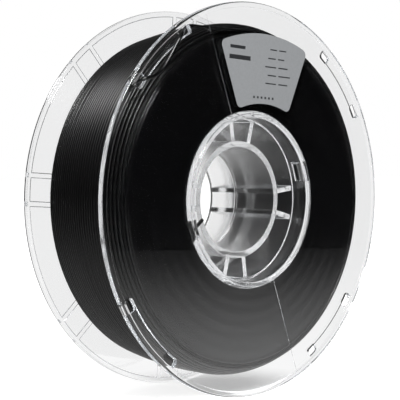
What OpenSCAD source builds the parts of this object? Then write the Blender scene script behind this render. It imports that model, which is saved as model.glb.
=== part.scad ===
// Clear two-flange spool, full of round filament.
//
// The spool's axis lies along Y, the labelled face looks along -Y and +Z is up. Each module is
// drawn on the bench, with the axis along Z and the labelled face up, and stand() lays it down.
// The origin is on the axis, half-way across the spool.

/* [Spool] */
// Outer diameter of both flanges
outer_d = 200; // [190:1:230]
// Width over both flanges
spool_w = 60; // [50:1:80]
// How far the spool has rolled on from square, in degrees
rest_turn = 4.5; // [0:0.5:40]

/* [Flanges] */
// Width of the rim band round each flange
rim_w = 2.8; // [2:0.1:3.6]
// Thickness of a rim, along the axis
rim_t = 3.5; // [3.2:0.1:4.5]
// Step from a rim's outer face down to its plate
plate_step = 0.9; // [0.6:0.1:1.2]
// Number of rib pairs on the rear plate
rib_pairs = 8; // [4:1:10]
// Distance between the middles of the two ribs of a pair
rib_gap = 14; // [8:0.5:16]
// Thickness of a rib
rib_w = 2.4; // [1.6:0.1:3]

/* [Clip pockets] */
// Number of pockets for the filament's loose end
pockets = 4; // [2:1:5]
// Depth of a pocket in the front plate
pocket_depth = 1.2; // [0.8:0.1:1.6]
// Width of a pocket, in from the rim
pocket_w = 5; // [4.2:0.1:6]
// Angle from the middle of a pocket to the middle of each slot
slot_turn = 11.5; // [10:0.5:14]
// Length of a slot, round the rim
slot_l = 7.4; // [6.6:0.1:9]
// Radius of a slot's corners
slot_corner = 1.6; // [0.6:0.1:2]

/* [Hub] */
// Diameter of the bore that takes the holder's spindle
bore_d = 54; // [48:0.5:57]
// Wall of the bore tube
bore_wall = 3.2; // [2:0.1:3.8]
// Inner diameter of the drum
drum_d = 82.4; // [76:0.2:96]
// Wall of the drum, on which the first turns lie
drum_wall = 3.9; // [3.3:0.1:6]
// Step from the drum's inside out to the hub rings at its two ends
collar_step = 0.8; // [0.4:0.1:1.2]
// Wall of the hub rings where they stand up through the plates
lip_wall = 1.9; // [1.4:0.1:2.4]
// Depth of the front collar, down to its seat on the drum
collar_depth = 10.8; // [10:0.2:14]
// Depth of the rear collar
rear_collar_depth = 6; // [5:0.2:10]
// Depth of the front recess, down to the webs and the bore tube
recess = 11.5; // [11:0.5:20]
// Depth of the rear recess
rear_recess = 1; // [0.5:0.5:8]
// Where the two halves meet, behind the middle of the spool
split = 10; // [-2:1:14]
// Length of the spigot by which the front half enters the rear half
spigot_l = 3; // [2:0.5:6]
// Thickness of a web
web_t = 2.6; // [1.8:0.1:3.4]
// Angle between the two webs of a pair
web_pair_turn = 22; // [16:1:30]
// Length of a filament window, round the collar
window_l = 9.3; // [8.8:0.1:12]
// Width of a filament window, along the axis
window_w = 3.3; // [2.6:0.1:4]
// Depth of the middle of the windows below the rim's face
window_depth = 6.7; // [6.3:0.1:7.3]

/* [Filament] */
// Diameter of the filament
filament_d = 1.75; // [1.6:0.05:1.8]
// Height of the flanges above the fullest part of the winding
headroom = 9.7; // [9.5:0.1:40]
// How far the winding falls away from its crown to the rear flange
rear_fall = 3; // [0:0.1:3.5]
// How far it falls away from its crown to the front flange
front_fall = 4.2; // [0:0.1:4.5]
// Number of loops in the outer layer
loops = 22; // [8:1:22]

/* [Label] */
// Distance from the rim in to the label
label_rim_gap = 12.4; // [6:0.1:30]
// Distance from the hub ring out to the label
label_hub_gap = 5.3; // [1:0.1:16]
// Angle that the label spans
label_span = 44.7; // [20:0.1:60]
// Radius of the label's corners
label_corner = 3; // [1:0.5:5]
// Distance to one side of true at which the label is stuck
label_offset = 6; // [-7:0.5:7]
// Thickness of the label
label_t = 0.2; // [0.1:0.05:0.4]

/* [Hidden] */

CLEAR = [0.86, 0.89, 0.91, 0.45];
BLACK = [0.07, 0.07, 0.08];
GREY = [0.6, 0.6, 0.61];
round_steps = 120;

// Clearances: round the winding, between pieces that seat on each other, and a cutter's reach
gap = 0.3;
snug = 0.1;
over = 1;

// Heights on the bench, counted from the middle of the spool
top = spool_w / 2;
inside = top - rim_t;
plate = top - plate_step;
pocket_floor = plate - pocket_depth;
seat = top - collar_depth;
rear_seat = -top + rear_collar_depth;
web_top = top - recess;
web_end = -top + rear_recess;
window = top - window_depth;

// Radii
outer_r = outer_d / 2;
plate_r = outer_r - rim_w;
slot_in_r = plate_r - pocket_w;
slot_r = plate_r - pocket_w / 2;
drum_r = drum_d / 2;
drum_out_r = drum_r + drum_wall;
collar_r = drum_r + collar_step;
lip_r = collar_r + lip_wall;
spigot_r = (drum_r + drum_out_r) / 2;
bore_r = bore_d / 2;
tube_r = bore_r + bore_wall;
label_in_r = lip_r + label_hub_gap;
label_out_r = plate_r - label_rim_gap;
fil_r = filament_d / 2;

// Angles as seen from the front, before the spool rolls on
pocket_turn = 45;
window_turn = 22.5;
label_turn = 91.5;

module stand() { rotate([90, 0, 0]) rotate([0, 0, -rest_turn]) children(); }

// A round piece turned from its outline, given as [radius, height] points
module turned(outline) { rotate_extrude($fn = round_steps) polygon(outline); }

// A plain ring from radius r0 to r1 and from height z0 to z1
module ring(r0, r1, z0, z1) { turned([[r0, z0], [r1, z0], [r1, z1], [r0, z1]]); }

module front_rim() { color(CLEAR) stand() ring(plate_r, outer_r, inside, top); }
module rear_rim() { color(CLEAR) stand() ring(plate_r, outer_r, -top, -inside); }

// The plate's part of a slot, which the rim closes on the outside
module slot(turn) {
    in_r = slot_in_r + slot_corner;
    half = slot_l / 2;
    rotate([0, 0, turn]) translate([0, 0, inside - over])
        linear_extrude(height = plate - inside + 2 * over) {
            translate([in_r, -half]) square([pocket_w + over, slot_l]);
            translate([slot_in_r, slot_corner - half])
                square([pocket_w, slot_l - 2 * slot_corner]);
            for (s = [-1, 1]) translate([in_r, s * (half - slot_corner)])
                circle(r = slot_corner, $fn = 40);
        }
}

// A clip pocket is a shallow arc along the rim, with a slot through the plate at each end
module pocket(turn) {
    for (s = [-1, 1]) slot(turn + s * slot_turn);
    rotate([0, 0, turn - slot_turn]) rotate_extrude(angle = 2 * slot_turn, $fn = round_steps)
        translate([slot_in_r, pocket_floor]) square([pocket_w + over, pocket_depth + over]);
}

module front_flange() {
    color(CLEAR) stand() difference() {
        ring(lip_r, plate_r, inside, plate);
        for (i = [0 : pockets - 1]) pocket(pocket_turn + i * 360 / pockets);
    }
}

module rear_flange() { color(CLEAR) stand() ring(lip_r, plate_r, -plate, -inside); }

// Ribs in pairs on the rear plate, from the hub ring out to the rim
module rear_ribs() {
    color(CLEAR) stand() intersection() {
        ring(lip_r, plate_r, -top, -plate);
        for (i = [0 : rib_pairs - 1], s = [-1, 1])
            rotate([0, 0, i * 360 / rib_pairs]) translate([0, (s * rib_gap - rib_w) / 2, -top - over])
                cube([outer_r, rib_w, top]);
    }
}

// A collar seats on the drum, carries its plate on a shoulder and stands up through it
function collar(seat_z, shoulder_z, top_z) = [[collar_r, seat_z], [drum_out_r, seat_z],
    [drum_out_r, shoulder_z], [lip_r, shoulder_z], [lip_r, top_z], [collar_r, top_z]];

module front_collar() {
    color(CLEAR) stand() difference() {
        turned(collar(seat, inside, top));
        for (turn = [window_turn, window_turn + 180]) rotate([0, 0, turn])
            translate([collar_r - over, -window_l / 2, window - window_w / 2])
                cube([drum_out_r - collar_r + 2 * over, window_l, window_w]);
    }
}

module rear_collar() { color(CLEAR) stand() turned(collar(rear_seat, -inside, -top)); }

// The front half's spigot enters the socket in the rear half's drum
module front_drum() {
    color(CLEAR) stand() turned([[drum_r, -split - spigot_l], [spigot_r, -split - spigot_l],
        [spigot_r, -split], [drum_out_r, -split], [drum_out_r, seat], [drum_r, seat]]);
}

module rear_drum() {
    socket_r = spigot_r + snug;
    socket_end = -split - spigot_l - snug;
    color(CLEAR) stand() turned([[drum_r, rear_seat], [drum_out_r, rear_seat], [drum_out_r, -split],
        [socket_r, -split], [socket_r, socket_end], [drum_r, socket_end]]);
}

module front_bore_tube() { color(CLEAR) stand() ring(bore_r, tube_r, -split, web_top); }
module rear_bore_tube() { color(CLEAR) stand() ring(bore_r, tube_r, web_end, -split); }

// Four pairs of radial webs, which fill whatever outline is given between tube and drum
module webs() {
    intersection() {
        union() children();
        for (i = [0 : 3], s = [-1, 1]) rotate([0, 0, i * 90 + s * web_pair_turn / 2])
            translate([bore_r, -web_t / 2, -top]) cube([outer_r, web_t, spool_w]);
    }
}

module front_webs() { color(CLEAR) stand() webs() ring(tube_r, drum_r, -split, web_top); }

module rear_webs() {
    color(CLEAR) stand() webs() turned([[tube_r, web_end], [collar_r, web_end],
        [collar_r, rear_seat], [drum_r, rear_seat], [drum_r, -split], [tube_r, -split]]);
}

// A point of the filament, from its radius, its angle and its height
function at(r, turn, z) = [r * cos(turn), r * sin(turn), z];

// The filament goes out through one slot of the pocket and comes back in through the other
clip_turn = pocket_turn + 360 / pockets;
out_turn = clip_turn - slot_turn;
in_turn = clip_turn + slot_turn;

// Radius to the middle of the outer layer's strand, which falls away on both sides of a crown
layer_r = outer_r - headroom - fil_r;
layer_z = inside - gap - snug - fil_r;
crown_rear = 5;
crown_front = 14;
function drop(z, from, to) = 1 - cos(90 * max(0, min(1, (z - from) / (to - from))));
function layer_at(z) = layer_r - rear_fall * drop(z, crown_rear, -layer_z)
    - front_fall * drop(z, crown_front, layer_z);
rear_r = layer_at(-layer_z);
front_r = layer_at(layer_z);

// The outer layer: 24 rings to a loop, from the rear flange to the front one, over a plain core.
// It leaves the winding where a straight line reaches the first slot.
ring_steps = 24;
layer_sides = 6;
slot_reach = 4;
pull = acos(front_r / slot_r);
layer_turn = out_turn - slot_reach - pull;
pitch = 2 * layer_z / loops;
coil = [for (i = [0 : loops * ring_steps]) let (z = -layer_z + i * pitch / ring_steps)
    at(layer_at(z), layer_turn + i * 360 / ring_steps, z)];

// It comes up out of the turns below through a pit, square off the pit's floor
bend_r = 4.2;
bend_steps = 5;
pit_r = rear_r - bend_r - filament_d;
pit_turn = layer_turn - 4;
function in_pit(x, r) = at(norm([x, r]), pit_turn + atan2(x, r), -layer_z);
rise = [for (i = [0 : bend_steps]) let (b = i * 90 / bend_steps)
    in_pit(bend_r * (1 - cos(b)), rear_r - bend_r + bend_r * sin(b))];

// The loose end runs taut to the first slot, bows over the plate and comes back in through the
// second. Each row is how far it lies inside the slots' middle radius, its angle past that slot,
// and its height over the plate's inside face.
over_plate = plate - inside + fil_r + snug;
function from_slot(turn, rows) = [for (p = rows) at(slot_r - p[0], turn + p[1], inside + p[2])];
under = layer_z - inside;
taut = [for (t = [0.2, 0.4, 0.6, 0.8]) at(front_r / cos(pull * t), layer_turn + pull * t, layer_z)];
bow_out = from_slot(out_turn, [[0, -slot_reach, under], [0, -2.2, under + 0.2], [0, -0.8, 0.1],
    [0, 0.5, 1.6], [0, 1.8, over_plate - 0.7], [0.7, 3.4, over_plate], [2.4, 6.2, over_plate],
    [4.2, 9.6, over_plate]]);
bow_in = from_slot(in_turn, [[5.5, -9, over_plate], [5.4, -6.4, over_plate],
    [3.8, -3.6, over_plate], [1.9, -2, over_plate - 0.1], [0.7, -0.8, over_plate - 1.1],
    [0.1, 0.2, 0.9], [0, 1.2, -1.2], [0, 2.1, -2.9], [0, 3.2, -4.4]]);

// A smooth line through every point of p, with one more point half-way along each step
function smooth(p) = [for (i = [0 : len(p) - 2]) let (
    a = p[max(i - 1, 0)], b = p[i], c = p[i + 1], d = p[min(i + 2, len(p) - 1)])
    each [b, (9 * (b + c) - a - d) / 16], p[len(p) - 1]];

loose = smooth(concat([coil[len(coil) - 1]], taut, bow_out, bow_in));
route = concat([in_pit(0, pit_r)], rise, coil, [for (i = [1 : len(loose) - 1]) loose[i]]);

// Least gap from the strand to itself, between the middles of rings well apart along it
apart = 8;
least_gap = min([for (i = [0 : len(route) - 1 - apart], j = [i + apart : len(route) - 1])
    norm(route[i] - route[j])]) - filament_d;
echo(least_gap = least_gap);

// A tube along a line of points, as one closed skin of triangles
module tube(line, r, sides) {
    last = len(line) - 1;
    skin = [for (i = [0 : last]) let (
        t = line[min(i + 1, last)] - line[max(i - 1, 0)],
        u = cross(t, [0, 0, 1]) / norm(cross(t, [0, 0, 1])),
        v = cross(u, t) / norm(t))
        for (k = [0 : sides - 1]) line[i] + r * (cos(k * 360 / sides) * u + sin(k * 360 / sides) * v)];
    walls = [for (i = [0 : last - 1], k = [0 : sides - 1]) let (
        a = i * sides + k, b = i * sides + (k + 1) % sides)
        each [[a, b, b + sides], [a, b + sides, a + sides]]];
    ends = [for (k = [1 : sides - 2])
        each [[0, k + 1, k], [last * sides, last * sides + k, last * sides + k + 1]]];
    polyhedron(points = skin, faces = concat(walls, ends), convexity = 10);
}

module winding_layer() { color(BLACK) stand() tube(route, fil_r, layer_sides); }

// The turns under the outer layer, which follow its crown and whose sides lie in low rings
core_rings = 6;
core_dip = 0.5;
core_steps = 16;
core_z = layer_z + fil_r;
function slope(z) = (layer_at(z + snug) - layer_at(z - snug)) / (2 * snug);
function core_out(z) = layer_at(z) * cos(180 / ring_steps) - (fil_r + snug / 2) * norm([1, slope(z)]);
function core_side(z, dip) = let (in_r = drum_out_r + snug) [for (k = [0 : 2 * core_rings])
    [in_r + (core_out(z) - in_r) * k / (2 * core_rings), z - (k % 2) * dip]];
module winding_core() {
    front = core_side(core_z, core_dip);
    crown = [for (k = [0 : core_steps]) let (z = layer_z * (2 * k / core_steps - 1)) [core_out(z), z]];
    color(BLACK) stand() difference() {
        turned(concat(core_side(-core_z, -core_dip), crown,
            [for (k = [len(front) - 1 : -1 : 0]) front[k]]));
        rotate([0, 0, pit_turn]) translate([pit_r, -fil_r - gap, -inside])
            cube([outer_r, bend_r + 2 * filament_d, inside - layer_z + fil_r + gap]);
    }
}

// The inner end comes through a window at a slant, from the first turns on the drum
start_slant = 19;
start_side = 2.9;
start_clear = 1.4;
module filament_start() {
    wall_r = (collar_r + drum_out_r) / 2;
    inward = (wall_r - tube_r - start_clear) / cos(start_slant);
    outward = drum_wall;
    color(BLACK) stand() rotate([0, 0, window_turn + 180]) intersection() {
        translate([wall_r, start_side, window]) rotate([0, -90, start_slant])
            translate([0, 0, -outward]) cylinder(h = inward + outward, r = fil_r, $fn = 32);
        ring(0, drum_out_r + snug, window - filament_d, window + filament_d);
    }
}

// Outline of a ring sector with round corners, centred on the X axis
module sector(r0, r1, span, corner) {
    a1 = span / 2 - asin(corner / (r1 - corner));
    a0 = span / 2 - asin(corner / (r0 + corner));
    function corner_at(r, a, from, to) = [for (k = [0 : 6]) let (b = from + (to - from) * k / 6)
        [r * cos(a) + corner * cos(b), r * sin(a) + corner * sin(b)]];
    function arc(r, from, to) = [for (k = [1 : 23]) let (a = from + (to - from) * k / 24)
        [r * cos(a), r * sin(a)]];
    side = span / 2 + 90;
    polygon(concat(
        arc(r1, -a1, a1), corner_at(r1 - corner, a1, a1, side),
        corner_at(r0 + corner, a0, side, a0 + 180), arc(r0, a0, -a0),
        corner_at(r0 + corner, -a0, 180 - a0, 360 - side),
        corner_at(r1 - corner, -a1, 360 - side, 360 - a1)));
}

module label() {
    color(GREY) stand() rotate([0, 0, label_turn]) translate([0, -label_offset, plate])
        linear_extrude(height = label_t) sector(label_in_r, label_out_r, label_span, label_corner);
}

front_rim();
front_flange();
front_collar();
front_drum();
front_bore_tube();
front_webs();
rear_rim();
rear_flange();
rear_ribs();
rear_collar();
rear_drum();
rear_bore_tube();
rear_webs();
winding_core();
winding_layer();
filament_start();
label();
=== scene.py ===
import math

import bmesh
import bpy
from bpy.props import FloatProperty, FloatVectorProperty, IntProperty, PointerProperty
from mathutils import Matrix, Vector, noise


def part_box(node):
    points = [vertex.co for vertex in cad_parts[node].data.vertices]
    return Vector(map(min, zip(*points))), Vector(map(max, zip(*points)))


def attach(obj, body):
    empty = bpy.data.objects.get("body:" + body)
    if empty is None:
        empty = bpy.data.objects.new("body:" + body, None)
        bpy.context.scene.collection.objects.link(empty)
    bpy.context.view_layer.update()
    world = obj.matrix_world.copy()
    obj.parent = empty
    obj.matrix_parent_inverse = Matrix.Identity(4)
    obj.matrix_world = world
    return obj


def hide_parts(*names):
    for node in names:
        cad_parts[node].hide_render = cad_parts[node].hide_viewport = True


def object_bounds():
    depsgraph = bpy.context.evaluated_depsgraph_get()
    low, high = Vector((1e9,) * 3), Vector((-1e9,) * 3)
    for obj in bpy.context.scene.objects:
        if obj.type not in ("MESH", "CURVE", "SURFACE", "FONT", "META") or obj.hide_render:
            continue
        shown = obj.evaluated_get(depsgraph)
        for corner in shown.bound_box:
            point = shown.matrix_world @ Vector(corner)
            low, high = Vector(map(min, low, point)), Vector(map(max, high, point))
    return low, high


bl_info = {
    "name": "Clear Filament Spool",
    "version": (1, 0, 0),
    "blender": (4, 5, 0),
    "location": "3D View > Sidebar > Spool",
    "description": "Dresses a clear two-flange spool with its winding, label, floor and light",
    "category": "Add Mesh",
}

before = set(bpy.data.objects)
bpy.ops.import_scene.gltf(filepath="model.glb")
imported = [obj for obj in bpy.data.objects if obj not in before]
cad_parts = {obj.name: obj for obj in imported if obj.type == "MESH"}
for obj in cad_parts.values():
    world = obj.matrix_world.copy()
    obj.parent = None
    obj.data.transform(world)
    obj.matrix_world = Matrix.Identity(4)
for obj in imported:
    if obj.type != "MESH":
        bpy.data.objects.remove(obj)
CAD_LOW, CAD_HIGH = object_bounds()

# The pieces are drawn on the bench in millimetres, with the spool's axis along Z and the labelled
# face up, and then laid down with the axis along Y.
MM = 0.001
REST_TURN = 4.5
LAY = (Matrix.Rotation(math.radians(90), 4, "X") @ Matrix.Rotation(math.radians(-REST_TURN), 4, "Z")
       @ Matrix.Scale(MM, 4))


# ---------------------------------------------------------------- sizes

# Keeps the finely stepped rims inside the box of the solids.
BOX_GAP = 0.004


def node_radius(node):
    """Outer radius of a round node, in millimetres."""
    low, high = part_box(node)
    return (high[2] - low[2]) / MM / 2


class SpoolSizes(bpy.types.PropertyGroup):
    """Sizes of the two clear mouldings, in millimetres."""

    rim_r: FloatProperty(name="Flange radius", description="Outer radius of both flanges",
                         default=node_radius("front_rim") - BOX_GAP, min=50)
    plate_r: FloatProperty(name="Plate radius", description="Radius at which a rim stands up from its plate",
                           default=97.2, min=40)
    half_w: FloatProperty(name="Half width", description="From the spool's middle to a rim's outer face",
                          default=30, min=10)
    inside: FloatProperty(name="Inside face", description="From the spool's middle to a plate's inside face",
                          default=26.5, min=5)
    plate: FloatProperty(name="Outside face", description="From the spool's middle to a plate's outside face",
                         default=29.1, min=5)
    bore_r: FloatProperty(name="Bore radius", description="Radius of the bore for the spindle",
                          default=27, min=5)
    tube_r: FloatProperty(name="Bore tube radius", description="Outer radius of the bore tube",
                          default=30.2, min=6)
    drum_r: FloatProperty(name="Drum radius", description="Inner radius of the drum", default=41.2, min=10)
    collar_r: FloatProperty(name="Hub ring radius", description="Inner radius of the hub rings",
                            default=42, min=10)
    lip_r: FloatProperty(name="Hub ring outer radius", description="Outer radius of the hub rings",
                         default=43.9, min=10)
    drum_out_r: FloatProperty(name="Drum outer radius", description="Radius on which the first turns lie",
                              default=45.1, min=11)
    split: FloatProperty(name="Joint", description="Where the two mouldings meet, from the spool's middle",
                         default=-10)
    edge: FloatProperty(name="Edge radius", description="Rounding of the mouldings' edges",
                        default=0.35, min=0)
    rim_edge: FloatProperty(name="Rim rounding", description="Rounding of the rims' outer edges",
                            default=1.3, min=0.1)
    web_t: FloatProperty(name="Web thickness", description="Thickness of a web in the hub",
                         default=2.6, min=0.5)
    rib_t: FloatProperty(name="Rib thickness", description="Thickness of a rib on the rear flange",
                         default=2.4, min=0.5)
    steps: IntProperty(name="Steps round", description="Flat steps in a full turn of the mouldings",
                       default=576, min=24)


class FilamentSizes(bpy.types.PropertyGroup):
    """Sizes of the filament and its winding, in millimetres."""

    diameter: FloatProperty(name="Diameter", description="Diameter of the filament", default=1.75, min=0.5)
    crown_r: FloatProperty(name="Crown radius", description="Outer radius of the winding where it is fullest",
                           default=90.3, min=20)
    rear_fall: FloatProperty(name="Rear fall", description="How far it falls away to the rear flange",
                             default=3)
    front_fall: FloatProperty(name="Front fall", description="How far it falls away to the front flange",
                              default=4.2)
    pitch: FloatProperty(name="Pitch", description="Step from one turn to the next", default=1.79, min=0.5)


class LabelSizes(bpy.types.PropertyGroup):
    """Sizes of the paper label, in millimetres."""

    in_r: FloatProperty(name="Inner radius", description="Inner radius of the label", default=49.2, min=10)
    out_r: FloatProperty(name="Outer radius", description="Outer radius of the label", default=84.8, min=20)
    span: FloatProperty(name="Span", description="Angle that the label spans, in degrees",
                        default=44.7, min=5)
    turn: FloatProperty(name="Place", description="Angle of the label's middle, in degrees", default=91.5)
    aside: FloatProperty(name="Offset", description="How far to one side of true the label is stuck",
                         default=6)
    corner: FloatProperty(name="Corner", description="Radius of the label's corners", default=3, min=0.5)
    thick: FloatProperty(name="Thickness", description="Thickness of the paper", default=0.16, min=0.05)


class Finishes(bpy.types.PropertyGroup):
    """Colours of the spool, in linear light."""

    plastic: FloatVectorProperty(name="Clear plastic", description="Tint of the clear plastic",
                                 subtype="COLOR", default=(0.99, 0.992, 0.995), min=0, max=1)
    filament: FloatVectorProperty(name="Filament", description="Colour of the filament", subtype="COLOR",
                                  default=(0.001, 0.001, 0.0012), min=0, max=1)
    paper: FloatVectorProperty(name="Label paper", description="Colour of the label", subtype="COLOR",
                               default=(0.24, 0.248, 0.256), min=0, max=1)
    ink: FloatVectorProperty(name="Ink", description="Colour of the label's printed marks", subtype="COLOR",
                             default=(0.02, 0.021, 0.023), min=0, max=1)


# ---------------------------------------------------------------- meshes

# Flat steps in a rounded corner, and in one with a radius of its own.
CORNER_PARTS, OWN_CORNER_PARTS = 3, 12


def polar(r, degrees, z=0.0):
    """The point at a radius and an angle about the spool's axis."""
    a = math.radians(degrees)
    return Vector((r * math.cos(a), r * math.sin(a), z))


def eased(outline, radius):
    """The closed outline with each corner rounded.

    A corner takes its own third value, or else the radius, up to a third of the shorter side.
    """
    out = []
    count = len(outline)
    for i, point in enumerate(outline):
        here, before, after = (Vector(p[:2]) for p in (point, outline[i - 1], outline[(i + 1) % count]))
        back, on = before - here, after - here
        own, parts = min(radius, back.length / 3, on.length / 3), CORNER_PARTS
        if len(point) > 2:
            own, parts = point[2], OWN_CORNER_PARTS
        start, end = here + back.normalized() * own, here + on.normalized() * own
        for k in range(parts + 1):
            a = math.pi / 2 * k / parts
            t = math.sin(a) / (math.sin(a) + math.cos(a))
            out.append(start * (1 - t) ** 2 + here * (2 * t * (1 - t)) + end * t * t)
    return out


def skin_mesh(rings, closed=False):
    """A closed skin over rings of as many points each, with flat ends or joined to a loop."""
    bm = bmesh.new()
    rings = [[bm.verts.new(point) for point in ring] for ring in rings]
    if not closed:
        bm.faces.new(rings[0])
        bm.faces.new(rings[-1])
    for here, after in zip(rings, rings[1:] + rings[:1] if closed else rings[1:]):
        for j in range(len(here)):
            k = (j + 1) % len(here)
            bm.faces.new((here[j], here[k], after[k], after[j]))
    bmesh.ops.recalc_face_normals(bm, faces=bm.faces)
    return bm


def turned(bm, degrees):
    """The mesh, turned about the spool's axis."""
    bm.transform(Matrix.Rotation(math.radians(degrees), 4, "Z"))
    return bm


def lathe_mesh(outline, steps):
    """A ring turned from a closed outline of radius and height."""
    return skin_mesh([[(r * math.cos(a), r * math.sin(a), z) for r, z in outline]
                      for a in (2 * math.pi * i / steps for i in range(steps))], closed=True)


def prism_mesh(outline, low, high):
    """A flat outline of x and y, raised from one height to another."""
    return skin_mesh([[(x, y, z) for x, y in outline] for z in (low, high)])


def bar_mesh(r0, r1, width, low, high, degrees):
    """A straight bar along a radius."""
    side = width / 2
    return turned(prism_mesh([(r0, -side), (r1, -side), (r1, side), (r0, side)], low, high), degrees)


def tube_mesh(line, radius, sides):
    """A round tube along a line of points, with flat ends."""
    rings = []
    last = len(line) - 1
    for i, point in enumerate(line):
        along = (line[min(i + 1, last)] - line[max(i - 1, 0)]).normalized()
        side = along.cross(Vector((0, 0, 1))).normalized()
        up = side.cross(along).normalized()
        rings.append([point + radius * (math.cos(b) * side + math.sin(b) * up)
                      for b in (2 * math.pi * k / sides for k in range(sides))])
    return skin_mesh(rings)


def joined(meshes):
    """Several separate closed skins in one mesh."""
    bm = bmesh.new()
    for part in meshes:
        data = bpy.data.meshes.new("part")
        part.to_mesh(data)
        part.free()
        bm.from_mesh(data)
        bpy.data.meshes.remove(data)
    return bm


def new_object(name, bm):
    """The mesh as an object of the scene."""
    data = bpy.data.meshes.new(name)
    bm.to_mesh(data)
    bm.free()
    obj = bpy.data.objects.new(name, data)
    bpy.context.scene.collection.objects.link(obj)
    return obj


def apply_modifiers(obj):
    """Gives the object the mesh that its modifiers make of it."""
    evaluated = obj.evaluated_get(bpy.context.evaluated_depsgraph_get())
    data = bpy.data.meshes.new_from_object(evaluated)
    obj.modifiers.clear()
    old, obj.data = obj.data, data
    bpy.data.meshes.remove(old)
    data.name = obj.name


def carve(obj, steps):
    """Adds and cuts the given meshes in order, each as (operation, mesh)."""
    for operation, bm in steps:
        tool = new_object("tool", bm)
        modifier = obj.modifiers.new(operation, "BOOLEAN")
        modifier.operation, modifier.solver, modifier.object = operation, "MANIFOLD", tool
        apply_modifiers(obj)
        tool_data = tool.data
        bpy.data.objects.remove(tool)
        bpy.data.meshes.remove(tool_data)


def finish_piece(obj, material, replaces=(), sharp=25.0, flat=False):
    """Lays a piece down in the row's frame, smooths it and gives it its material and its body."""
    obj.data.transform(LAY)
    obj.data.materials.clear()
    obj.data.materials.append(material)
    obj.data.polygons.foreach_set("use_smooth", [True] * len(obj.data.polygons))
    obj.data.set_sharp_from_angle(angle=math.radians(sharp))
    if flat:
        # The flat faces keep their own direction beside the rounded edges.
        modifier = obj.modifiers.new("flat", "WEIGHTED_NORMAL")
        modifier.keep_sharp = True
        apply_modifiers(obj)
    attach(obj, "root")
    if replaces:
        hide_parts(*replaces)


# ---------------------------------------------------------------- materials

class Tree:
    """A node tree, in which nodes are made by type, settings and inputs."""

    def __init__(self, owner):
        owner.use_nodes = True
        self.nodes, self.links = owner.node_tree.nodes, owner.node_tree.links
        self.nodes.clear()

    def node(self, kind, settings=None, **inputs):
        """A node of that kind, with its settings made first and its inputs fed by name."""
        made = self.nodes.new(kind)
        for key, value in (settings or {}).items():
            setattr(made, key, value)
        for key, value in inputs.items():
            self.feed(made.inputs[key.replace("_", " ")], value)
        return made

    def feed(self, socket, value):
        """Links or sets an input."""
        if isinstance(value, Wire):
            self.links.new(value.socket, socket)
        elif isinstance(value, bpy.types.NodeSocket):
            self.links.new(value, socket)
        else:
            socket.default_value = value

    def wire(self, made, output=0):
        """A node's output, ready for arithmetic."""
        return Wire(self, made.outputs[output])

    def ramp(self, factor, stops):
        """A colour ramp with the given (position, colour) stops."""
        made = self.node("ShaderNodeValToRGB", Fac=factor)
        elements = made.color_ramp.elements
        while len(elements) < len(stops):
            elements.new(0.5)
        for element, (position, colour) in zip(elements, stops):
            element.position, element.color = position, colour
        return self.wire(made)

    def place(self):
        """Where a point lies in the row's frame, in metres."""
        return self.node("ShaderNodeTexCoord").outputs["Object"]

    def noise(self, place, scale, detail):
        """Soft noise between 0 and 1."""
        return self.wire(self.node("ShaderNodeTexNoise", Vector=place, Scale=scale, Detail=detail))

    def span(self, value, start, end, low=0.0, high=1.0, kind="LINEAR"):
        """A number that goes from low to high while the value goes from start to end."""
        return self.wire(self.node("ShaderNodeMapRange", {"interpolation_type": kind}, Value=value,
                                   From_Min=start, From_Max=end, To_Min=low, To_Max=high))

    def vector(self, operation, place, by=None):
        """A Vector Math node on a place and, where the operation takes one, a fixed vector."""
        made = self.node("ShaderNodeVectorMath", {"operation": operation}, Vector=place)
        if by is not None:
            made.inputs[1].default_value = by
        return made

    def mixed(self, factor, first, second):
        """The first shader where the factor is 0, and the second where it is 1."""
        made = self.node("ShaderNodeMixShader", Fac=factor)
        for socket, shader in zip(made.inputs[1:], (first, second)):
            self.feed(socket, shader.outputs[0])
        return made

    def light_path(self, *kinds):
        """1 for any of the given kinds of ray."""
        made = self.node("ShaderNodeLightPath")
        out = self.wire(made, kinds[0])
        for kind in kinds[1:]:
            out = out.math("MAXIMUM", out, self.wire(made, kind))
        return out


class Wire:
    """A socket that takes part in arithmetic by adding Math nodes."""

    def __init__(self, tree, socket):
        self.tree, self.socket = tree, socket

    def math(self, operation, *values):
        """The result of a Math node on the given values."""
        made = self.tree.nodes.new("ShaderNodeMath")
        made.operation = operation
        for socket, value in zip(made.inputs, values):
            self.tree.feed(socket, value)
        return Wire(self.tree, made.outputs[0])

    def __add__(self, other):
        return self.math("ADD", self, other)

    def __radd__(self, other):
        return self.math("ADD", other, self)

    def __sub__(self, other):
        return self.math("SUBTRACT", self, other)

    def __rsub__(self, other):
        return self.math("SUBTRACT", other, self)

    def __mul__(self, other):
        return self.math("MULTIPLY", self, other)

    def __rmul__(self, other):
        return self.math("MULTIPLY", other, self)


def mottled(tree, factor, colour, dark, pale, start=0.3, end=0.7):
    """The colour, from dark to pale times its brightness with the factor."""
    base = Vector(colour)
    return tree.ramp(factor, [(start, (*(base * dark), 1)), (end, (*(base * pale), 1))])


# The roughness that haze adds on the hub and in the bore, and the millimetres over which it sets in,
# from the hub rings' outside and from the bore's wall.
HUB_HAZE, BORE_HAZE = 0.06, 0.18
HUB_EDGE, BORE_EDGE = (1.6, -0.4), (0.5, 0.2)
BODY_TINT, SHADOW_TINT = (0.80, 0.82, 0.84, 1), (0.9, 0.9, 0.9, 1)


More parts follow.
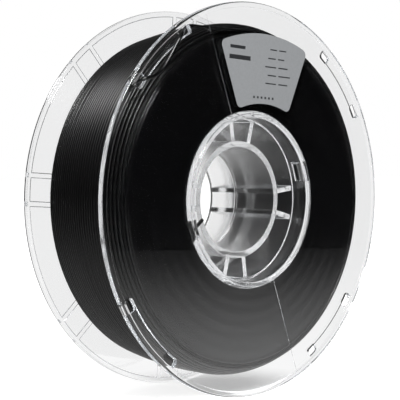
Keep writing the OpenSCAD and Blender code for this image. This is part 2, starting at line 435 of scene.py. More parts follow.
def clear_plastic():
    """Clear moulded styrene with a faint flow ripple and a little haze."""
    material = bpy.data.materials.new("clear_moulding")
    tree = Tree(material)
    s = bpy.context.scene.spool_sizes
    place = tree.place()
    ripple, haze = tree.noise(place, 28.0, 1.0), tree.noise(place, 160.0, 4.0)
    bump = tree.node("ShaderNodeBump", Height=ripple, Strength=0.02, Distance=0.0006)
    out_r = tree.vector("LENGTH", tree.vector("MULTIPLY", place, (1, 0, 1)).outputs[0]).outputs["Value"]
    hub = tree.span(out_r, *((s.lip_r + edge) * MM for edge in HUB_EDGE))
    bore = tree.span(out_r, *((s.bore_r + edge) * MM for edge in BORE_EDGE))
    shell = tree.node("ShaderNodeBsdfPrincipled", Base_Color=(*bpy.context.scene.spool_finishes.plastic, 1),
                      Roughness=0.01 + 0.02 * haze + HUB_HAZE * hub + BORE_HAZE * bore, IOR=1.53,
                      Transmission_Weight=1.0, Normal=bump.outputs[0])
    body = tree.node("ShaderNodeVolumeAbsorption", Color=BODY_TINT, Density=7.0)
    # The lamp shines through the plastic, which would otherwise throw a full shadow.
    lit = tree.node("ShaderNodeBsdfTransparent", Color=SHADOW_TINT)
    both = tree.mixed(tree.light_path("Is Shadow Ray"), shell, lit)
    tree.node("ShaderNodeOutputMaterial", Surface=both.outputs[0], Volume=body.outputs[0])
    return material


# Where the strands begin to be pressed smooth, in millimetres short of a plate.
PRESSED_EDGE = (1.3, 0.8)


def black_filament():
    """Drawn black filament: satin, with a fine grain."""
    material = bpy.data.materials.new("black_filament")
    tree = Tree(material)
    inside = bpy.context.scene.spool_sizes.inside
    place = tree.place()
    grain, cloud = tree.noise(place, 2600.0, 3.0), tree.noise(place, 60.0, 2.0)
    colour = mottled(tree, cloud, bpy.context.scene.spool_finishes.filament, 0.8, 1.3)
    depth = tree.wire(tree.node("ShaderNodeSeparateXYZ", Vector=place), "Y")
    pressed = tree.span(depth.math("ABSOLUTE", depth), *((inside - edge) * MM for edge in PRESSED_EDGE))
    bump = tree.node("ShaderNodeBump", Height=grain * (1 - pressed), Strength=0.12, Distance=0.00006)
    shell = tree.node("ShaderNodeBsdfPrincipled", Base_Color=colour, Specular_IOR_Level=0.42,
                      Roughness=0.25 + 0.1 * grain - 0.12 * pressed, Normal=bump.outputs[0])
    tree.node("ShaderNodeOutputMaterial", Surface=shell.outputs[0])
    return material


def label_paper():
    """Coated grey paper with a fine mottle."""
    material = bpy.data.materials.new("coated_paper")
    tree = Tree(material)
    fibre = tree.noise(tree.place(), 900.0, 4.0)
    colour = mottled(tree, fibre, bpy.context.scene.spool_finishes.paper, 0.96, 1.04)
    bump = tree.node("ShaderNodeBump", Height=fibre, Strength=0.15, Distance=0.00004)
    shell = tree.node("ShaderNodeBsdfPrincipled", Base_Color=colour, Roughness=0.42 + 0.1 * fibre,
                      Normal=bump.outputs[0])
    tree.node("ShaderNodeOutputMaterial", Surface=shell.outputs[0])
    return material


def label_ink():
    """Flat dark printing ink."""
    material = bpy.data.materials.new("label_ink")
    tree = Tree(material)
    speck = tree.noise(tree.place(), 2400.0, 2.0)
    colour = mottled(tree, speck, bpy.context.scene.spool_finishes.ink, 0.8, 1.6, start=0.35)
    shell = tree.node("ShaderNodeBsdfPrincipled", Base_Color=colour, Roughness=0.38 + 0.1 * speck)
    tree.node("ShaderNodeOutputMaterial", Surface=shell.outputs[0])
    return material


def material(name, maker):
    """The material of that name, made once."""
    return bpy.data.materials.get(name) or maker()


# ---------------------------------------------------------------- the clear mouldings

# In millimetres and degrees, like the sizes. A TURN is the angle between like things and a SPREAD is to
# either side of their middle. PAST and SHORT are how far a mesh goes beyond a face or stops before it.
PAST = 1
JOINT_GAP, SPIGOT_L, SOCKET_L, SPIGOT_FIT = 0.04, 3, 3.1, 0.05

# The hub: where a ring's seat and the webs end, in from the rims' outer faces.
FRONT_SEAT, FRONT_WEB, REAR_SEAT, REAR_WEB, SEAT_EDGE = 10.8, 11.5, 6, 1, 0.1
WEB_TURN, WEB_SPREAD, WEB_ROOT, WEB_SHORT = 90, 11, 1.5, 0.02

# The clip pockets, each with a slot at both ends, and the gap that is left to the rim. TAIL_POCKET is the
# place of the one that holds the loose end.
POCKET_TURN, POCKET_DEPTH, POCKET_W, POCKET_WALL, POCKET_STEPS = 90, 1.2, 5.0, 0.05, 18
SLOT_SPREAD, SLOT_L, SLOT_WALL, SLOT_CORNER, SLOT_STEPS = 11.5, 7.4, 0.1, 1.6, 6
TAIL_POCKET = POCKET_TURN * 1.5

# The windows for the filament. FLARE_DRAFT is how fast they widen towards the winding, to each side,
# down and up.
WINDOW_AT, WINDOW_L, WINDOW_W, WINDOW_DEPTH, WINDOW_PAST = 22.5, 9.3, 3.3, 6.7, 2
FLARE_DRAFT, FLARE_FROM, FLARE_PAST, FLARE_STEP = (0.4, 0.75, 0.55), 0.3, 0.5, 0.04

# The fine lines on the front plate, each with its angle and its depth.
WITNESS_LINES, WITNESS_W, WITNESS_SHORT, WITNESS_PAST = ((113.7, 0.08), (293.7, 0.2)), 0.25, 0.4, 0.2

# The rear ribs, in pairs, with the rounding of their tops and the fillets at their feet.
RIB_TURN, RIB_SPREAD, RIB_ROOT, RIB_SUNK, RIB_SHORT = 45, 7, 0.8, 0.6, 0.04
RIB_EDGE, RIB_EDGE_STEPS, RIB_FOOT, RIB_FOOT_STEPS = 0.45, 5, 0.35, 4

# Rounding where the rear rim stands up from its plate, and the angle from which an edge shades sharp.
STEP_EDGE = 0.42
SHARP = 10


def pairs(turn, spread):
    """The angles of pairs all the way round."""
    return [turn * k + spread * side for k in range(360 // turn) for side in (-1, 1)]


def slot_cutter(s, turn):
    """A slot with round corners, close inside the rim."""
    high, low = s.plate_r - SLOT_WALL - SLOT_CORNER, s.plate_r - POCKET_W + SLOT_CORNER
    reach = SLOT_L / 2 - SLOT_CORNER
    outline = []
    for quarter, centre in enumerate(((high, reach), (low, reach), (low, -reach), (high, -reach))):
        outline += [Vector(centre) + polar(SLOT_CORNER, 90 * quarter + 90 * k / SLOT_STEPS).to_2d()
                    for k in range(SLOT_STEPS + 1)]
    return turned(prism_mesh(outline, s.inside - PAST, s.half_w + PAST), turn)


def pocket_cutter(s, middle):
    """The shallow arc between a pocket's two slots."""
    turns = [middle - SLOT_SPREAD + 2 * SLOT_SPREAD * k / POCKET_STEPS for k in range(POCKET_STEPS + 1)]
    outline = [polar(s.plate_r - POCKET_WALL, turn).to_2d() for turn in turns]
    outline += [polar(s.plate_r - POCKET_W, turn).to_2d() for turn in reversed(turns)]
    return prism_mesh(outline, s.plate - POCKET_DEPTH, s.half_w + PAST)


def window_cutter(s, turn):
    """A window through the hub ring."""
    middle = s.half_w - WINDOW_DEPTH
    return bar_mesh(s.collar_r - WINDOW_PAST, s.drum_out_r + WINDOW_PAST, WINDOW_L, middle - WINDOW_W / 2,
                    middle + WINDOW_W / 2, turn)


def flare_cutter(s, turn):
    """A window's mouth on the winding's side, which widens away from the hub."""
    middle, start = s.half_w - WINDOW_DEPTH, s.collar_r + FLARE_FROM
    ends = []
    for r in (start, s.drum_out_r + FLARE_PAST):
        across, down, up = (width / 2 + FLARE_STEP / 2 + draft * (r - start)
                            for width, draft in zip((WINDOW_L, WINDOW_W, WINDOW_W), FLARE_DRAFT))
        ends.append([(r, side, middle + rise) for side, rise in
                     ((-across, -down), (across, -down), (across, up), (-across, up))])
    return turned(skin_mesh(ends), turn)


def hub_core(s, joint, end):
    """Steps that add the bore tube and its pairs of webs, from the joint to one end."""
    tube = [(s.bore_r, joint), (s.tube_r, joint), (s.tube_r, end), (s.bore_r, end)]
    low, high = sorted((joint, end))
    webs = [bar_mesh(s.bore_r + WEB_ROOT, s.drum_r + WEB_ROOT, s.web_t, low + WEB_SHORT, high - WEB_SHORT,
                     turn) for turn in pairs(WEB_TURN, WEB_SPREAD)]
    return [("UNION", lathe_mesh(eased(tube, s.edge), s.steps)), ("UNION", joined(webs))]


class SPOOL_OT_front_half(bpy.types.Operator):
    """Make the front moulding: flange, hub ring, pockets, windows, drum, webs and bore tube"""

    bl_idname = "spool.front_half"
    bl_label = "Front Half"

    def execute(self, context):
        s = context.scene.spool_sizes
        seat, joint, spigot_end = s.half_w - FRONT_SEAT, s.split + JOINT_GAP, s.split - SPIGOT_L
        spigot = (s.drum_r + s.drum_out_r) / 2 - SPIGOT_FIT
        outline = [(s.collar_r, s.half_w), (s.collar_r, seat, SEAT_EDGE), (s.drum_r, seat, SEAT_EDGE),
                   (s.drum_r, spigot_end), (spigot, spigot_end), (spigot, joint), (s.drum_out_r, joint),
                   (s.drum_out_r, s.inside), (s.rim_r, s.inside, s.rim_edge), (s.rim_r, s.half_w, s.rim_edge),
                   (s.plate_r, s.half_w), (s.plate_r, s.plate), (s.lip_r, s.plate), (s.lip_r, s.half_w)]
        obj = new_object("front_half", lathe_mesh(eased(outline, s.edge), s.steps))
        window_turns = (WINDOW_AT, WINDOW_AT + 180)
        slots = [slot_cutter(s, POCKET_TURN / 2 + turn) for turn in pairs(POCKET_TURN, SLOT_SPREAD)]
        pockets = [pocket_cutter(s, POCKET_TURN * (k + 0.5)) for k in range(360 // POCKET_TURN)]
        witnesses = [bar_mesh(s.lip_r + WITNESS_SHORT, s.plate_r - WITNESS_SHORT, WITNESS_W, s.plate - depth,
                              s.plate + WITNESS_PAST, turn) for turn, depth in WITNESS_LINES]
        cutters = ([window_cutter(s, turn) for turn in window_turns],
                   [flare_cutter(s, turn) for turn in window_turns], slots, pockets, witnesses)
        carve(obj, hub_core(s, joint, s.half_w - FRONT_WEB)
              + [("DIFFERENCE", joined(meshes)) for meshes in cutters])
        finish_piece(obj, material("clear_moulding", clear_plastic),
                     ("front_rim", "front_flange", "front_collar", "front_drum", "front_bore_tube",
                      "front_webs"), SHARP, flat=True)
        return {"FINISHED"}


def rib_mesh(s, middle, side):
    """A rib on the rear flange's outside, with rounded edges and a fillet at its foot."""
    face, top, half = -s.plate, -s.half_w + RIB_SHORT, s.rib_t / 2
    flank = [(half + RIB_FOOT, face + RIB_SUNK), (half + RIB_FOOT, face)]
    flank += [(half + RIB_FOOT * (1 - math.sin(b)), face - RIB_FOOT * (1 - math.cos(b)))
              for b in (math.pi / 2 * k / RIB_FOOT_STEPS for k in range(1, RIB_FOOT_STEPS + 1))]
    flank += [(half - RIB_EDGE * (1 - math.cos(b)), top + RIB_EDGE * (1 - math.sin(b)))
              for b in (math.pi / 2 * k / RIB_EDGE_STEPS for k in range(RIB_EDGE_STEPS + 1))]
    section = flank + [(-x, z) for x, z in reversed(flank)]
    return turned(skin_mesh([[(r, side + x, z) for x, z in section]
                             for r in (s.lip_r - RIB_ROOT, s.plate_r + PAST)]), middle)


class SPOOL_OT_rear_half(bpy.types.Operator):
    """Make the rear moulding: flange, ribs, hub ring, drum, webs and bore tube"""

    bl_idname = "spool.rear_half"
    bl_label = "Rear Half"

    def execute(self, context):
        s = context.scene.spool_sizes
        seat, joint, socket_end = -s.half_w + REAR_SEAT, s.split - JOINT_GAP, s.split - SOCKET_L
        socket = (s.drum_r + s.drum_out_r) / 2 + SPIGOT_FIT
        outline = [(s.collar_r, -s.half_w), (s.collar_r, seat), (s.drum_r, seat), (s.drum_r, socket_end),
                   (socket, socket_end), (socket, joint), (s.drum_out_r, joint), (s.drum_out_r, -s.inside),
                   (s.rim_r, -s.inside, s.rim_edge), (s.rim_r, -s.half_w, s.rim_edge),
                   (s.plate_r, -s.half_w, STEP_EDGE), (s.plate_r, -s.plate, STEP_EDGE),
                   (s.lip_r, -s.plate), (s.lip_r, -s.half_w)]
        obj = new_object("rear_half", lathe_mesh(eased(outline, s.edge), s.steps))
        # The two ribs of a pair are parallel, on either side of one radius.
        ribs = [rib_mesh(s, RIB_TURN * k, RIB_SPREAD * side)
                for k in range(360 // RIB_TURN) for side in (-1, 1)]
        carve(obj, hub_core(s, joint, -s.half_w + REAR_WEB) + [("UNION", joined(ribs))])
        finish_piece(obj, material("clear_moulding", clear_plastic),
                     ("rear_rim", "rear_flange", "rear_ribs", "rear_collar", "rear_drum", "rear_bore_tube",
                      "rear_webs"), SHARP, flat=True)
        return {"FINISHED"}


# ---------------------------------------------------------------- the filament

# Heights between which the winding is fullest, its gap to the plates, and how far short of its slot the
# loose end turns out of the groove, in degrees.
CROWN_REAR, CROWN_FRONT, CLEARANCE, SLOT_REACH = 5.0, 14.0, 0.4, 4.0

# Steps in a turn and sides of the strand, and how much thinner it is, so that neighbours share no face.
TURN_STEPS, TURN_SIDES, TURN_SNUG = 120, 10, 0.995
RING_STEPS, RING_SIDES, RING_SNUG = 96, 8, 0.985

# Unevenness of the outer layer, up and aside, and of the turns against the flanges.
TURN_LIFT, TURN_SHIFT, RING_SUNK = 0.22, 0.12, 0.2

# The core fills the winding out to SHOWN of a strand's radius past the last turn's middle, and its faces
# dip in rings.
RINGS, RING_DIP, SHOWN, CORE_GAP = 6, 0.1, 0.94, 0.15
CORE_STEPS, FACE_STEPS, CROWN_STEPS = 192, 48, 32

# The loose end's gap over the front plate, and the steps between its points.
OVER_GAP, TAIL_STEPS = 0.02, 5

# The inner end: its slant in degrees, where it crosses the hub ring, and how far in it reaches.
END_SLANT, END_AT, END_R, END_SIDES, END_ROOT = 19, 2.9, 31.7, 24, 0.1


def wobble(a, b, amount):
    """A smooth, repeatable unevenness between minus and plus the given amount."""
    return amount * noise.noise(Vector((a, b, 3.7)))


def last_turn(s, f):
    """From the spool's middle to the middle of a strand that lies against a flange."""
    return s.inside - CLEARANCE - f.diameter / 2


def layer_at(s, f, z):
    """Radius to the middle of the outer layer's strand, which falls away on both sides of a crown."""
    reach = last_turn(s, f)

    def drop(start, end):
        return 1 - math.cos(math.pi / 2 * min(1.0, max(0.0, (z - start) / (end - start))))

    return (f.crown_r - f.diameter / 2 - f.rear_fall * drop(CROWN_REAR, -reach)
            - f.front_fall * drop(CROWN_FRONT, reach))


def face_radii(s, f, side):
    """Inner and outer radius of the winding's core against one flange, and the step between its layers."""
    return (s.drum_out_r + CORE_GAP, layer_at(s, f, side * last_turn(s, f)) - f.diameter / 2,
            f.diameter / 2 * math.sqrt(3))


def dip(s, f, side, r):
    """How far the winding's face lies back at a radius, between its rings."""
    in_r, out_r, _ = face_radii(s, f, side)
    return RING_DIP * (1 - abs(2 * ((r - in_r) / (out_r - in_r) * RINGS % 1) - 1))


def taut_run(s, f):
    """The angle where the loose end leaves the winding, and the angle of its straight run to the slot."""
    pull = math.degrees(math.acos(layer_at(s, f, last_turn(s, f)) / (s.plate_r - POCKET_W / 2)))
    return TAIL_POCKET - SLOT_SPREAD - SLOT_REACH - pull, pull


def loose_end(s, f, start):
    """Points of the loose end, out through one slot, over the plate and back in through the other."""
    slot_r = s.plate_r - POCKET_W / 2
    out_turn, in_turn = TAIL_POCKET - SLOT_SPREAD, TAIL_POCKET + SLOT_SPREAD
    over, under, inside = s.plate + f.diameter / 2 + OVER_GAP, last_turn(s, f), s.inside
    leave, pull = taut_run(s, f)
    run = [polar(start.to_2d().length / math.cos(math.radians(pull * t)), leave + pull * t, under)
           for t in (0.2, 0.4, 0.6, 0.8)]
    # Each point has a slot's angle, how far inside the slot's middle it lies, its turn on from that
    # angle and its height.
    route = [(out_turn, 0, -SLOT_REACH, under), (out_turn, 0, -2.2, under + 0.2),
             (out_turn, 0, -0.8, inside + 0.1), (out_turn, 0, 0.5, inside + 1.6),
             (out_turn, 0, 1.8, over - 0.7), (out_turn, 0.7, 3.4, over),
             (out_turn, 2.4, 6.2, over), (out_turn, 4.2, 9.6, over), (in_turn, 5.5, -9, over),
             (in_turn, 5.4, -6.4, over), (in_turn, 3.8, -3.6, over), (in_turn, 1.9, -2, over - 0.1),
             (in_turn, 0.7, -0.8, over - 1.1), (in_turn, 0.1, 0.2, inside + 0.9),
             (in_turn, 0, 1.2, inside - 1.2), (in_turn, 0, 2.1, inside - 2.9),
             (in_turn, 0, 3.2, inside - 4.4)]
    return [start] + run + [polar(slot_r - drop, base + on, z) for base, drop, on, z in route]


def smoothed(points, steps):
    """A smooth line through every point, with so many steps from each to the next."""
    out = []
    last = len(points) - 1
    for i in range(last):
        a, b, c, d = points[max(i - 1, 0)], points[i], points[i + 1], points[min(i + 2, last)]
        for k in range(steps):
            t = k / steps
            out.append(0.5 * (2 * b + (c - a) * t + (2 * a - 5 * b + 4 * c - d) * t ** 2
                              + (3 * b - a - 3 * c + d) * t ** 3))
    out.append(points[last])
    return out


def outer_layer(s, f):
    """Points of the outer layer's turns, from the rear flange to the front one."""
    reach = last_turn(s, f)
    loops = int(2 * reach / f.pitch)
    leave = taut_run(s, f)[0]
    line = []
    for i in range(loops * TURN_STEPS + 1):
        loop, turn = i / TURN_STEPS, leave + 360 * i / TURN_STEPS
        c, n = math.cos(math.radians(turn)), math.sin(math.radians(turn))
        z = -reach + 2 * reach * i / (loops * TURN_STEPS)
        # Both ends of the layer lie true.
        ends = min(1.0, loop, loops - loop)
        lift = wobble(c * 1.5 + loop * 0.9, n * 1.5, TURN_LIFT) * ends
        shift = wobble(n * 1.1 + 9, loop * 0.8, TURN_SHIFT) * ends
        line.append(polar(layer_at(s, f, z) + min(lift, 0.0), turn, z + shift))
    return line


def face_turns(s, f, side):
    """Points of the turns that show against one flange, pressed nearly flat, from the outside in."""
    in_r, out_r, step = face_radii(s, f, side)
    radius = f.diameter / 2
    line = []
    for i in range(int((out_r - radius - in_r) / step) * RING_STEPS + 1):
        turn, r = 360 * i / RING_STEPS, out_r + radius - step - step * i / RING_STEPS
        c, n = math.cos(math.radians(turn)), math.sin(math.radians(turn))
        sunk = abs(wobble(c * 0.8 + i / RING_STEPS * 1.3, n * 0.8 + side * 5, RING_SUNK))
        line.append(polar(r, turn, side * (last_turn(s, f) - sunk - dip(s, f, side, r))))
    return line


def core_outline(s, f):
    """Outline of the turns below the outer layer: a face against each flange and the crown between."""
    radius, reach = f.diameter / 2, last_turn(s, f)
    faces = []
    for side in (-1, 1):
        in_r, out_r, step = face_radii(s, f, side)
        edge_r = out_r - 2 * step
        radii = [in_r + (edge_r - in_r) * k / FACE_STEPS for k in range(FACE_STEPS + 1)]
        faces.append([(r, side * (reach + radius * SHOWN - dip(s, f, side, r))) for r in radii]
                     + [(edge_r, side * (reach - radius))])
    heights = [reach * (2 * k / CROWN_STEPS - 1) for k in range(CROWN_STEPS + 1)]
    crown = [(layer_at(s, f, z) - radius, z) for z in heights]
    return faces[0] + crown + faces[1][::-1]


class SPOOL_OT_winding(bpy.types.Operator):
    """Wind the filament: the outer layer, the turns against both flanges and the loose end"""

    bl_idname = "spool.winding"
    bl_label = "Winding"

    def execute(self, context):
        s, f = context.scene.spool_sizes, context.scene.spool_filament
        radius = f.diameter / 2
        layer = outer_layer(s, f)
        tail = smoothed(loose_end(s, f, layer[-1]), TAIL_STEPS)
        parts = [tube_mesh(layer + tail[1:], radius * TURN_SNUG, TURN_SIDES)]
        parts += [tube_mesh(face_turns(s, f, side), radius * RING_SNUG, RING_SIDES) for side in (-1, 1)]
        parts.append(lathe_mesh(core_outline(s, f), CORE_STEPS))
        finish_piece(new_object("filament_winding", joined(parts)),
                     material("black_filament", black_filament),
                     ("winding_core", "winding_layer"), sharp=60)
        return {"FINISHED"}


class SPOOL_OT_inner_end(bpy.types.Operator):
    """Bring the filament's inner end through a window into the hub"""

    bl_idname = "spool.inner_end"
    bl_label = "Inner End"

    def execute(self, context):
        s, f = context.scene.spool_sizes, context.scene.spool_filament
        slant, wall_r = math.tan(math.radians(END_SLANT)), (s.collar_r + s.drum_out_r) / 2
        line = [Vector((r, END_AT + (r - wall_r) * slant, s.half_w - WINDOW_DEPTH))
                for r in (s.drum_out_r + END_ROOT, END_R)]
        end = turned(tube_mesh(line, f.diameter / 2, END_SIDES), WINDOW_AT + 180)
        finish_piece(new_object("filament_inner_end", end),
                     material("black_filament", black_filament), ("filament_start",), sharp=40)
        return {"FINISHED"}


# ---------------------------------------------------------------- the label

# Steps of the label's outline, and the millimetres of glue under it and of ink over it.
ARC_STEPS, CORNER_STEPS = 32, 8
GLUE, INK_FOOT, INK_TOP = 0.01, 0.005, 0.02

# The marks, drawn with the label's middle straight up: bars as left, foot, width and height, then lines
# of two rules as left, foot and both lengths, and a row of dashes.
BARS = ((-19.5, 75.6, 10.8, 1.6), (-20, 70.2, 15.2, 2.2))
RULES = ((9.8, 77, 5, 5.4), (8.4, 72.4, 5.6, 4.8), (6.3, 68, 8.2, 7), (8.2, 63.7, 6.4, 9), (6.7, 59.5, 8, 7))
RULE_H, RULE_GAP = 0.6, 1.8
DASHES, DASH_STEP, DASH = 6, 2.8, (-2.2, 51.7, 1.3, 1.1)


def sector(r0, r1, span, corner, turn):
    """Outline of a ring sector with round corners."""
    half, middle = math.radians(span / 2), math.radians(turn)
    out_a, in_a = half - math.asin(corner / (r1 - corner)), half - math.asin(corner / (r0 + corner))
    side, full = half + math.pi / 2, 2 * math.pi

    def arc(r, start, end):
        return [(r * math.cos(a), r * math.sin(a))
                for a in (start + (end - start) * k / ARC_STEPS for k in range(1, ARC_STEPS))]

    def round_corner(r, a, start, end):
        return [(r * math.cos(a) + corner * math.cos(b), r * math.sin(a) + corner * math.sin(b))
                for b in (start + (end - start) * k / CORNER_STEPS for k in range(CORNER_STEPS + 1))]

    points = (arc(r1, -out_a, out_a) + round_corner(r1 - corner, out_a, out_a, side)
              + round_corner(r0 + corner, in_a, side, in_a + math.pi) + arc(r0, in_a, -in_a)
              + round_corner(r0 + corner, -in_a, math.pi - in_a, full - side)
              + round_corner(r1 - corner, -out_a, full - side, full - out_a))
    c, n = math.cos(middle), math.sin(middle)
    return [(x * c - y * n, x * n + y * c) for x, y in points]


class SPOOL_OT_label(bpy.types.Operator):
    """Stick the label on the front flange, with plain bars and rules where the print goes"""

    bl_idname = "spool.label"
    bl_label = "Label"

    def execute(self, context):
        s, lab = context.scene.spool_sizes, context.scene.spool_label
        base = s.plate + GLUE
        top = base + lab.thick
        a = math.radians(lab.turn)
        outline = [(x + lab.aside * math.sin(a), y - lab.aside * math.cos(a))
                   for x, y in sector(lab.in_r, lab.out_r, lab.span, lab.corner, lab.turn)]
        finish_piece(new_object("paper_label", prism_mesh(outline, base, top)),
                     material("coated_paper", label_paper), ("label",))

        marks = list(BARS)
        for left, foot, first, second in RULES:
            marks += [(left, foot, first, RULE_H), (left + first + RULE_GAP, foot, second, RULE_H)]
        left, foot, width, height = DASH
        marks += [(left + DASH_STEP * k, foot, width, height) for k in range(DASHES)]
        bars = [prism_mesh([(x, y), (x + width, y), (x + width, y + height), (x, y + height)],
                           top + INK_FOOT, top + INK_TOP) for x, y, width, height in marks]
        finish_piece(new_object("label_marks", turned(joined(bars), lab.turn - 90)),
                     material("label_ink", label_ink))
        return {"FINISHED"}


# ---------------------------------------------------------------- stage

# The camera's place round the spool in degrees, its distance and shifts in metres, and its lens.
AZIMUTH, ELEVATION, ROLL = -44.209, 2.547, -0.716
DISTANCE, ASIDE, ALOFT = 0.629719, -0.00674, -0.000673
LENS, SENSOR, CLIP = 107.88, 36.0, (0.05, 50)

# The one lamp, in metres and watts.
KEY_PLACE, KEY_SIZE, KEY_POWER = (-0.62, -0.82, 1.2), 0.5, 28

# How bright the studio is to each kind of ray. THROUGH is for one straight through clear plastic, PIPED
# for one that has been mirrored more than PIPED_FROM times, and AMBIENT for what lights the spool.
THROUGH, PIPED, PIPED_FROM, AMBIENT, BOUNCES = 0.94, 1.0, 2.5, 0.45, 96

# In the gloss the room is dark, but for a sweep that brightens behind the spool and with height.
ROOM, SWEEP, SWEEP_BEHIND, SWEEP_HEIGHT = 0.003, (0.04, 0.2), (0.1, 0.5), (0.0, 0.6)

# The floor has an edge FLOOR_EDGE metres out, which the front flange mirrors, and goes FLOOR_REACH metres
# to the other sides.
FLOOR_EDGE, FLOOR_REACH, FLOOR_GAP, FLOOR_GREY = 0.89, 4, 0.0002, (0.8, 0.8, 0.8, 1)
FLOOR_SEEN, FLOOR_NEAR, FLOOR_LAST = 0.75, 0.3, 0.06
# Its glow changes between these distances in metres: the first two towards that edge, the last on any side.
MIRROR_RUN, MIRROR_GLOW = (0.1, FLOOR_EDGE), (0.95, 0.0)
BEHIND_RUN, BEHIND_GLOW = (-0.35, 0.05), (0.08, 1.0)
SHADOW_RUN = (0.02, 0.07)


def seen_rays(tree):
    """1 for a ray straight through clear plastic, for one mirrored once or twice, and for one piped on."""
    seen = tree.light_path("Is Transmission Ray", "Is Glossy Ray")
    bounced = tree.light_path("Glossy Depth")
    straight = seen * seen.math("LESS_THAN", bounced, 0.5)
    piped = seen * seen.math("GREATER_THAN", bounced, PIPED_FROM)
    return straight, seen - straight - piped, piped


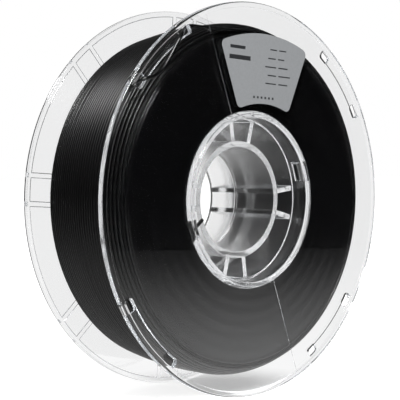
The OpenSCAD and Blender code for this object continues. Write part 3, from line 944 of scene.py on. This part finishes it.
class SPOOL_OT_stage(bpy.types.Operator):
    """Set up the camera, the floor, the lamp and the world"""

    bl_idname = "spool.stage"
    bl_label = "Stage"

    def execute(self, context):
        scene = context.scene
        self.camera(scene)
        self.floor()
        self.world(scene)
        self.lamp(scene)
        scene.view_settings.view_transform = "Standard"
        cycles = scene.cycles
        cycles.max_bounces = cycles.transmission_bounces = cycles.glossy_bounces = BOUNCES
        return {"FINISHED"}

    def camera(self, scene):
        """Look at the spool from its front left, at hub height."""
        a, e, roll = (math.radians(x) for x in (AZIMUTH, ELEVATION, ROLL))
        back = Vector((math.sin(a) * math.cos(e), -math.cos(a) * math.cos(e), math.sin(e)))
        level = (-back).cross(Vector((0, 0, 1))).normalized()
        upright = level.cross(-back)
        right = math.cos(roll) * level + math.sin(roll) * upright
        up = math.cos(roll) * upright - math.sin(roll) * level
        data = bpy.data.cameras.new("camera")
        data.lens, data.sensor_width, data.sensor_fit = LENS, SENSOR, "HORIZONTAL"
        data.clip_start, data.clip_end = CLIP
        camera = bpy.data.objects.new("camera", data)
        scene.collection.objects.link(camera)
        place = right * ASIDE + up * ALOFT + back * DISTANCE
        camera.matrix_world = (Matrix.Translation(place)
                               @ Matrix((right, up, back)).transposed().to_4x4())
        scene.camera = camera

    def floor(self):
        """Lay the floor. Its near edge is square to the camera's view as the front flange mirrors it."""
        a = math.radians(AZIMUTH)
        ahead = Vector((-math.sin(a), -math.cos(a), 0))
        aside = Vector((-ahead.y, ahead.x, 0))
        bm = bmesh.new()
        bm.faces.new([bm.verts.new(ahead * u + aside * v) for u, v in
                      ((FLOOR_EDGE, -FLOOR_REACH), (FLOOR_EDGE, FLOOR_REACH),
                       (-FLOOR_REACH, FLOOR_REACH), (-FLOOR_REACH, -FLOOR_REACH))])
        floor = new_object("floor", bm)
        floor.location.z = CAD_LOW.z - FLOOR_GAP
        floor.data.materials.append(self.floor_paper(ahead))

    def floor_paper(self, ahead):
        """White paper that keeps the spool's shadow, and glows where the plastic shows or mirrors it."""
        paper = bpy.data.materials.new("floor")
        tree = Tree(paper)
        place = tree.place()
        far = tree.vector("DOT_PRODUCT", place, ahead).outputs["Value"]
        mirrored = tree.span(far, *MIRROR_RUN, *MIRROR_GLOW)
        behind = tree.span(far, *BEHIND_RUN, *BEHIND_GLOW)
        beyond = tree.span(tree.vector("LENGTH", place).outputs["Value"], *SHADOW_RUN, kind="SMOOTHSTEP")
        straight, once, piped = seen_rays(tree)
        lit = tree.node("ShaderNodeBsdfDiffuse", Color=FLOOR_GREY)
        glow = tree.node("ShaderNodeEmission", Color=(1, 1, 1, 1), Strength=(
            tree.light_path("Is Camera Ray") * FLOOR_SEEN
            + straight * (FLOOR_NEAR + beyond * (THROUGH - FLOOR_NEAR)) + piped * PIPED
            + once * (FLOOR_LAST + mirrored * mirrored) * behind))
        both = tree.node("ShaderNodeAddShader")
        for socket, shader in zip(both.inputs, (lit, glow)):
            tree.feed(socket, shader.outputs[0])
        drawn = tree.mixed(once + piped + straight * beyond, both, glow)
        tree.node("ShaderNodeOutputMaterial", Surface=drawn.outputs[0])
        return paper

    def world(self, scene):
        """White all round to the camera and through the plastic, and darker in the gloss."""
        world = bpy.data.worlds.new("studio")
        scene.world = world
        world.cycles.sampling_method = "NONE"
        tree = Tree(world)
        straight, once, piped = seen_rays(tree)
        parts = tree.node("ShaderNodeSeparateXYZ",
                          Vector=tree.node("ShaderNodeTexCoord").outputs["Generated"])
        behind = tree.span(parts.outputs["Y"], *SWEEP_BEHIND, kind="SMOOTHSTEP")
        sweep = ROOM + behind * tree.span(parts.outputs["Z"], *SWEEP_HEIGHT, *SWEEP)
        rest = 1 - tree.light_path("Is Camera Ray", "Is Transmission Ray", "Is Glossy Ray")
        strength = (tree.light_path("Is Camera Ray") + straight * THROUGH + piped * PIPED + once * sweep
                    + rest * AMBIENT)
        backdrop = tree.node("ShaderNodeBackground", Color=(1, 1, 1, 1), Strength=strength)
        tree.node("ShaderNodeOutputWorld", Surface=backdrop.outputs[0])

    def lamp(self, scene):
        """Hang one soft lamp over the camera's left."""
        data = bpy.data.lights.new("key", "AREA")
        data.shape, data.size, data.energy = "DISK", KEY_SIZE, KEY_POWER
        lamp = bpy.data.objects.new("key", data)
        lamp.location = KEY_PLACE
        lamp.rotation_euler = (-Vector(KEY_PLACE)).to_track_quat("-Z", "Y").to_euler()
        scene.collection.objects.link(lamp)


# ---------------------------------------------------------------- add-on

class SPOOL_PT_panel(bpy.types.Panel):
    """Buttons and sizes of the spool"""

    bl_label = "Filament Spool"
    bl_space_type = "VIEW_3D"
    bl_region_type = "UI"
    bl_category = "Spool"

    def draw(self, context):
        for operator in OPERATORS:
            self.layout.operator(operator.bl_idname)
        for group in (context.scene.spool_sizes, context.scene.spool_filament, context.scene.spool_label,
                      context.scene.spool_finishes):
            box = self.layout.box()
            for key in group.bl_rna.properties.keys():
                if key not in ("rna_type", "name"):
                    box.prop(group, key)


GROUPS = (("spool_sizes", SpoolSizes), ("spool_filament", FilamentSizes), ("spool_label", LabelSizes),
          ("spool_finishes", Finishes))
OPERATORS = (SPOOL_OT_stage, SPOOL_OT_front_half, SPOOL_OT_rear_half, SPOOL_OT_winding, SPOOL_OT_inner_end,
             SPOOL_OT_label)


def register():
    for cls in (*(group for _, group in GROUPS), *OPERATORS, SPOOL_PT_panel):
        bpy.utils.register_class(cls)
    for name, group in GROUPS:
        setattr(bpy.types.Scene, name, PointerProperty(type=group))


def unregister():
    for name, _ in GROUPS:
        delattr(bpy.types.Scene, name)
    for cls in (SPOOL_PT_panel, *reversed(OPERATORS), *(group for _, group in reversed(GROUPS))):
        bpy.utils.unregister_class(cls)


def main():
    register()
    for operator in OPERATORS:
        group, name = operator.bl_idname.split(".")
        getattr(getattr(bpy.ops, group), name)()


if __name__ == "__main__":
    main()
